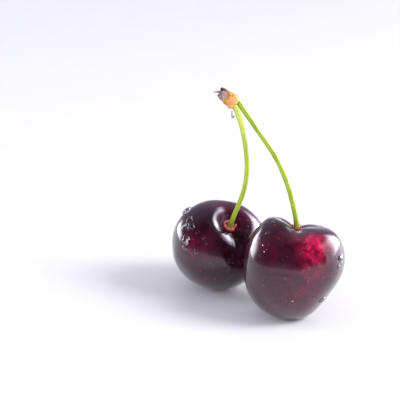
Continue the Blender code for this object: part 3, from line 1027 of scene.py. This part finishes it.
def make_thorn(spur_placing):
    """The pink point at the spur's torn end, slightly bent."""
    height = SPUR_LENGTH + GAP + THORN_RADIUS * math.sin(THORN_DROOP)
    placing = spur_placing @ Matrix.Translation(UP * height) @ Matrix.Rotation(THORN_DROOP, 4, "X")
    controls = (THORN_ROOT, THORN_BEND, UP * THORN_LENGTH)
    shares = [k / (THORN_RINGS - 1) for k in range(THORN_RINGS)]
    points = [bezier(controls, share) for share in shares]
    radii = [mix(*THORN_ENDS, share ** 1.4) for share in shares]
    mesh, _ = swept(points, radii, THORN_SIDES, ribs=3, rib_height=0.10, roughness=0.25, seed=5.0)
    edge = [bump(k, THORN_RINGS - 1, 8.0) for k in range(THORN_RINGS) for _ in range(THORN_SIDES)]
    add_piece("thorn", mesh, THORN, ["spur_thorn"], placing, {"edge": edge})


FIBRE_RADIUS = 0.19 * MM
FIBRE_RINGS = 40
FIBRE_SIDES = 12


def make_fibre():
    """The dry hooked fibre beside the back stalk."""
    low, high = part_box("dry_stipule")
    middle = (low.y + high.y) / 2
    hook = Vector((high.x, middle, low.z + 2.2 * FIBRE_RADIUS))
    bend = Vector((low.x + FIBRE_RADIUS, middle, low.z - FIBRE_RADIUS))
    top = Vector((low.x + FIBRE_RADIUS, middle, high.z))
    shares = [k / (FIBRE_RINGS - 1) for k in range(FIBRE_RINGS)]
    points = [bezier((hook, bend, bend, top), share) for share in shares]
    radii = [FIBRE_RADIUS * mix(0.75, 1.0, math.sin(math.pi * share)) for share in shares]
    mesh, _ = swept(points, radii, FIBRE_SIDES, ribs=4, rib_height=0.12, roughness=0.30, seed=9.0)
    edge = [bump(k, 0.0, 6.0) for k in range(FIBRE_RINGS) for _ in range(FIBRE_SIDES)]
    add_piece("stipule_fibre", mesh, FIBRE, ["dry_stipule"], attributes={"edge": edge})


# ------------------------------------------------------------------------- water drops

def drop_mesh(radius, seed):
    """A drop standing on z = 0: a full dome with an uneven outline."""
    rings = []
    for step in range(1, DROP_RINGS + 1):
        share = step / DROP_RINGS
        height = DROP_HEIGHT_SHARE * radius * math.cos(share * math.pi / 2) ** DROP_ROUNDNESS
        ring = []
        for k in range(DROP_SEGMENTS):
            turn = math.tau * k / DROP_SEGMENTS
            around = Vector((math.cos(turn), math.sin(turn), 0.0))
            uneven = 1 + DROP_UNEVENNESS * noise.noise(around * 1.1 + Vector((seed, 0.0, 0.0)))
            ring.append(around * radius * math.sin(share * math.pi / 2) * uneven + UP * height)
        rings.append(ring)
    return lofted(rings, (UP * DROP_HEIGHT_SHARE * radius, UP * -DROP_SINK))


def drop_list(fruit):
    """The polar angle, azimuth, radius and seed of each drop: the larger ones, then a seeded scatter."""
    drops = []
    for number, (polar, azimuth, size) in enumerate(fruit.drops):
        drops.append((math.radians(polar), math.radians(azimuth), size * MM, number * 1.7))
    scatter = random.Random(fruit.name)
    for number in range(MIST_DROPS):
        polar = math.acos(scatter.uniform(*MIST_LEVELS))
        azimuth = scatter.uniform(-math.pi, math.pi)
        size = scatter.uniform(*MIST_SIZES)
        drops.append((polar, azimuth, size * MM, number * 2.3))
    return drops


def make_drops(fruit, placing, tree):
    """All the water on one fruit, as one piece."""
    whole = bmesh.new()
    for polar, azimuth, radius, seed in drop_list(fruit):
        direction = skin_point(fruit, polar, azimuth).normalized()
        place, normal, _, _ = tree.ray_cast(Vector(), direction)
        if (placing @ place).z < DROP_CLEARANCE:
            continue
        drop = drop_mesh(radius, seed)
        turn = normal.to_track_quat("Z", "Y").to_matrix().to_4x4()
        drop.transform(Matrix.Translation(place - normal * DROP_SINK) @ turn)
        data = bpy.data.meshes.new("drop")
        drop.to_mesh(data)
        drop.free()
        whole.from_mesh(data)
        bpy.data.meshes.remove(data)
    add_piece(f"water_drops_{fruit.name}", whole, WATER, matrix=placing)


# ------------------------------------------------------------------------------- build

def build():
    """Both fruits with their rims and drops, then the stalks, and the spur on the stalks' tops."""
    feet = {}
    for fruit, seed in ((FRONT, 2.0), (BACK, 7.0)):
        placing, tree = make_fruit(fruit)
        make_calyx(fruit, placing, tree, seed)
        make_drops(fruit, placing, tree)
        axis = placing.to_3x3() @ UP
        feet[fruit.name] = (placing @ (UP * foot_height(tree)), axis)
    spur_axis = heading(SPUR_BEARING, SPUR_RISE)
    spur_turn = spur_axis.to_track_quat("Z", "Y").to_matrix()
    beside = spur_turn @ Vector((math.cos(STALK_PAIR_ROLL), math.sin(STALK_PAIR_ROLL), 0.0))
    beside *= STALK_TOP_RADIUS + GAP / 2
    front_top = feet["front"][0] + heading(FRONT_STALK_BEARING, FRONT_STALK_RISE) * FRONT_STALK_REACH
    for fruit, top in ((FRONT, front_top), (BACK, front_top - 2 * beside)):
        make_stalk(fruit, *feet[fruit.name], top, spur_axis)
    spur_placing = Matrix.Translation(front_top - beside + spur_axis * GAP) @ spur_turn.to_4x4()
    make_core(spur_placing)
    for whorl in WHORLS:
        make_whorl(whorl, spur_placing)
    make_thorn(spur_placing)
    make_fibre()


build()


# ------------------------------------------------------------- stage, light and camera

WHITE = (1.0, 1.0, 1.0)
DAYLIGHT = (0.93, 0.92, 1.0)
AMBIENT_LOW = (0.75, 0.75, 0.85)      # all-round light near the level, which reaches upright sides
AMBIENT_HIGH = (0.60, 0.60, 0.64)     # and from overhead, which reaches the table
ROOM_BACK = (0.36, 0.32, 0.44)        # what the skins mirror beyond the pair
ROOM_FRONT = (0.02, 0.015, 0.02)      # on the viewer's side
ROOM_LOW = (0.43, 0.36, 0.44)         # and just above the table

FLOOR_REACH = 4.0                     # from the frame's origin to each side, in metres
FLOOR_CLEARANCE = 0.02 * MM


def make_floor():
    """A plain pale table, far larger than the object."""
    level = CAD_BOUNDS[0].z - FLOOR_CLEARANCE
    mesh = bmesh.new()
    corners = [mesh.verts.new((x * FLOOR_REACH, y * FLOOR_REACH, level))
               for x, y in ((-1, -1), (1, -1), (1, 1), (-1, 1))]
    mesh.faces.new(corners)
    shader = Shader("table", Metallic=0.0)
    colour = shader.blend(shader.noise(scale=60.0, detail=2.0), (0.90, 0.90, 0.92), (0.92, 0.92, 0.94))
    data = bpy.data.meshes.new("table")
    mesh.to_mesh(data)
    mesh.free()
    data.materials.append(shader.finish(colour, roughness=0.55))
    floor = bpy.data.objects.new("table", data)
    bpy.context.scene.collection.objects.link(floor)


def add_softbox(name, bearing, rise, distance, size, power, colour):
    """A soft area light facing the pair, at a bearing from +Y towards +X and a rise, in degrees.

    The gloss doesn't show it, because the room's windows stand for it there. Its power is in watts.
    """
    away = heading(math.radians(90.0 - bearing), math.radians(rise))
    light = bpy.data.lights.new(name, "AREA")
    light.shape = "RECTANGLE"
    light.size, light.size_y = size
    light.energy = power
    light.color = colour
    lamp = bpy.data.objects.new(name, light)
    bpy.context.scene.collection.objects.link(lamp)
    lamp.location = away * distance
    lamp.rotation_euler = away.to_track_quat("Z", "Y").to_euler()
    lamp.visible_glossy = False


@dataclass
class Window:
    """A soft-edged bright patch of the room that only the gloss shows. Bearings from +Y towards +X."""

    bearings: tuple                   # degrees: it starts, is full, starts to fade and ends
    rises: tuple                      # sines of the rise where it starts to fade, and where it ends
    glare: float


WINDOWS = (
    Window(bearings=(26, 50, 60, 98), rises=(0.52, 0.74), glare=7.5),
    Window(bearings=(50, 70, 107, 114), rises=(0.70, 0.80), glare=1.8),
    Window(bearings=(-78, -66, -42, -34), rises=(0.13, 0.29), glare=8.0),
    Window(bearings=(40, 44, 50, 54), rises=(0.36, 0.42), glare=50.0),
)


def make_world():
    """White to the camera, pale round the table, and in the gloss a dim room with soft windows."""
    world = bpy.data.worlds.new("room")
    bpy.context.scene.world = world
    world.use_nodes = True
    nodes = Nodes(world.node_tree)
    direction = nodes.node("TexCoord").outputs["Generated"]
    parts = nodes.node("SeparateXYZ", Vector=direction).outputs
    bearing = nodes.maths("ARCTAN2", parts["X"], parts["Y"])
    rise = parts["Z"]
    room = nodes.blend(nodes.ramp(parts["Y"], -0.35, 0.55), ROOM_FRONT, ROOM_BACK)
    room = nodes.blend(nodes.ramp(rise, 0.0, 0.22, to_low=0.8, to_high=0.0), room, ROOM_LOW)
    for window in WINDOWS:
        starts, full, fades, ends = (math.radians(angle) for angle in window.bearings)
        share = nodes.times(nodes.ramp(bearing, starts, full), nodes.ramp(bearing, ends, fades))
        share = nodes.times(share, nodes.ramp(rise, window.rises[1], window.rises[0]))
        room = nodes.blend(share, room, [window.glare * part for part in DAYLIGHT], "ADD")
    ambient = nodes.blend(nodes.ramp(rise, 0.0, 0.7), AMBIENT_LOW, AMBIENT_HIGH)
    path = nodes.node("LightPath").outputs
    light = nodes.blend(path["Is Glossy Ray"], ambient, room)
    light = nodes.blend(path["Is Camera Ray"], light, WHITE)
    nodes.feed(world.node_tree.nodes["Background"].inputs["Color"], light)


CAMERA_RISE = math.radians(20.0)
CAMERA_LENS = 150.0                   # millimetres, on a 36 mm wide sensor
CAMERA_SENSOR = 36.0
CAMERA_DISTANCE = 444.0 * MM
CAMERA_LEFT = 25.07 * MM              # of the front fruit's middle
CAMERA_ABOVE = 17.87 * MM
CAMERA_CLIPS = (0.01, 20.0)


def make_camera():
    """A long lens, looking down on the table a little, framed by the front fruit."""
    low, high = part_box("cherry_front")
    forward = Vector((0.0, math.cos(CAMERA_RISE), -math.sin(CAMERA_RISE)))
    above = Vector((0.0, math.sin(CAMERA_RISE), math.cos(CAMERA_RISE)))
    aim = (low + high) / 2 - Vector((CAMERA_LEFT, 0.0, 0.0)) + above * CAMERA_ABOVE
    camera = bpy.data.cameras.new("camera")
    camera.lens = CAMERA_LENS
    camera.sensor_width = CAMERA_SENSOR
    camera.clip_start, camera.clip_end = CAMERA_CLIPS
    eye = bpy.data.objects.new("camera", camera)
    bpy.context.scene.collection.objects.link(eye)
    eye.location = aim - forward * CAMERA_DISTANCE
    eye.rotation_euler = (math.pi / 2 - CAMERA_RISE, 0.0, 0.0)
    bpy.context.scene.camera = eye


make_floor()
make_world()
add_softbox("key_right", bearing=106, rise=36, distance=0.90,
            size=(0.42, 0.42), power=7.5, colour=WHITE)
add_softbox("window_left", bearing=-80, rise=16, distance=0.90,
            size=(0.36, 0.36), power=2.8, colour=DAYLIGHT)
add_softbox("front_fill", bearing=180, rise=10, distance=1.20,
            size=(0.80, 0.60), power=5.0, colour=DAYLIGHT)
make_camera()
bpy.context.scene.view_settings.view_transform = "Standard"
